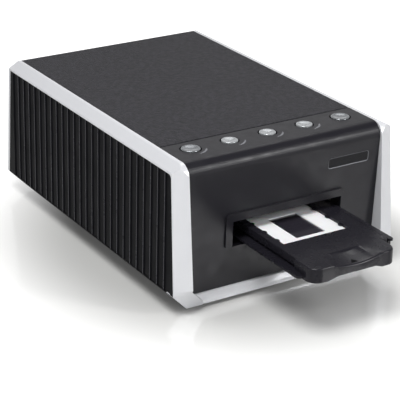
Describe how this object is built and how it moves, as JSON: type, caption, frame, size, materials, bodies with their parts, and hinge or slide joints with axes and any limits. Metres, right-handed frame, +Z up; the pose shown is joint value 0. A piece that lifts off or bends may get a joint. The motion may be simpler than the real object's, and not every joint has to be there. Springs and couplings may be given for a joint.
{
  "type": "film and slide scanner",
  "caption": "Desktop film and slide scanner with silver side frames, grained black top, a row of round keys and a slide holder standing out of the front slot.",
  "frame": {"origin": "on the table, under the middle of the whole length from grip to rear, midway between the sides", "axes": "+X to the right seen from the front, -Y to the front where the holder stands out, +Z up"},
  "size_m": [0.175, 0.326, 0.1046],
  "materials": {
    "silver_paint": "satin silver paint",
    "black_side": "satin moulded black",
    "grained_top": "leather grain",
    "cover_black": "fine matt texture",
    "black_base": "matt moulded black",
    "badge": "anodised, bare",
    "key_silver": "satin silver lacquer",
    "rubber": "matt",
    "holder_black": "satin moulded black",
    "rack_grey": "satin acetal",
    "slide_white": "matt white",
    "film": "glossy dark film",
    "gear_white": "acetal",
    "steel": "zinc plated",
    "brass": "turned",
    "motor_steel": "plated can",
    "circuit_board": "green solder mask",
    "chip_black": "moulded epoxy",
    "connector_black": "moulded nylon",
    "lamp": "phosphor coated tube",
    "lamp_metal": "folded sheet",
    "diffuser": "opal",
    "bench": "die cast, black coated",
    "mirror": "front silvered",
    "lens_metal": "black anodised",
    "lens_glass": "coated glass",
    "sensor": "ceramic package"
  },
  "bodies": {
    "housing": {"side_frame_left": "silver_paint", "side_frame_right": "silver_paint", "front_sill": "silver_paint", "ribbed_panel_left": "black_side", "ribbed_panel_right": "black_side", "top_panel": "grained_top", "front_cover": "cover_black", "badge_plate": "badge", "slot_liner": "black_base", "rear_panel": "black_side", "base_pan": "black_base", "foot_front_left": "rubber", "foot_front_right": "rubber", "foot_rear_left": "rubber", "foot_rear_right": "rubber", "key_board": "circuit_board", "key_switches": "chip_black", "guide_left": "black_base", "guide_right": "black_base", "gear_post": "steel", "feed_motor": "motor_steel", "chassis_plate": "steel", "lamp_housing": "lamp_metal", "lamp_tube": "lamp", "diffuser": "diffuser", "optics_bench": "bench", "fold_mirror": "mirror", "lens_barrel": "lens_metal", "lens_glass": "lens_glass", "sensor_board": "circuit_board", "line_sensor": "sensor", "main_board": "circuit_board", "board_components": "chip_black", "usb_socket": "steel", "power_inlet": "connector_black", "case_screws": "steel"},
    "holder": {"holder_body": "holder_black", "holder_rack": "rack_grey", "slide_mount": "slide_white", "slide_film": "film"},
    "drive": {"drive_gear": "gear_white"},
    "motor_rotor": {"motor_pinion": "brass"},
    "key_1_cap": {"key_1": "key_silver"},
    "key_2_cap": {"key_2": "key_silver"},
    "key_3_cap": {"key_3": "key_silver"},
    "key_4_cap": {"key_4": "key_silver"},
    "key_5_cap": {"key_5": "key_silver"}
  },
  "joints": [
    {"name": "holder_feed", "type": "slide", "parent": "housing", "child": "holder", "axis": [0, 1, 0], "range_m": [-0.13, 0.059]},
    {"name": "drive_gear_spin", "type": "hinge", "parent": "housing", "child": "drive", "pos_m": [0.05152, -0.063, 0.046], "axis": [0, 0, 1], "range_deg": [-425, 935]},
    {"name": "motor_spin", "type": "hinge", "parent": "housing", "child": "motor_rotor", "pos_m": [0.06168, -0.04849, 0.0546], "axis": [0, 0, 1], "range_deg": [-2490, 1130]},
    {"name": "key_1_press", "type": "slide", "parent": "housing", "child": "key_1_cap", "axis": [0, 0, -1], "range_m": [0, 0.0005], "stiffness_N_per_m": 600, "springref_m": -0.001},
    {"name": "key_2_press", "type": "slide", "parent": "housing", "child": "key_2_cap", "axis": [0, 0, -1], "range_m": [0, 0.0005], "stiffness_N_per_m": 600, "springref_m": -0.001},
    {"name": "key_3_press", "type": "slide", "parent": "housing", "child": "key_3_cap", "axis": [0, 0, -1], "range_m": [0, 0.0005], "stiffness_N_per_m": 600, "springref_m": -0.001},
    {"name": "key_4_press", "type": "slide", "parent": "housing", "child": "key_4_cap", "axis": [0, 0, -1], "range_m": [0, 0.0005], "stiffness_N_per_m": 600, "springref_m": -0.001},
    {"name": "key_5_press", "type": "slide", "parent": "housing", "child": "key_5_cap", "axis": [0, 0, -1], "range_m": [0, 0.0005], "stiffness_N_per_m": 600, "springref_m": -0.001}
  ],
  "couplings": [
    {"joint": "drive_gear_spin", "follows": "holder_feed", "rad_per_m": -125},
    {"joint": "motor_spin", "follows": "holder_feed", "rad_per_m": 333.33}
  ]
}
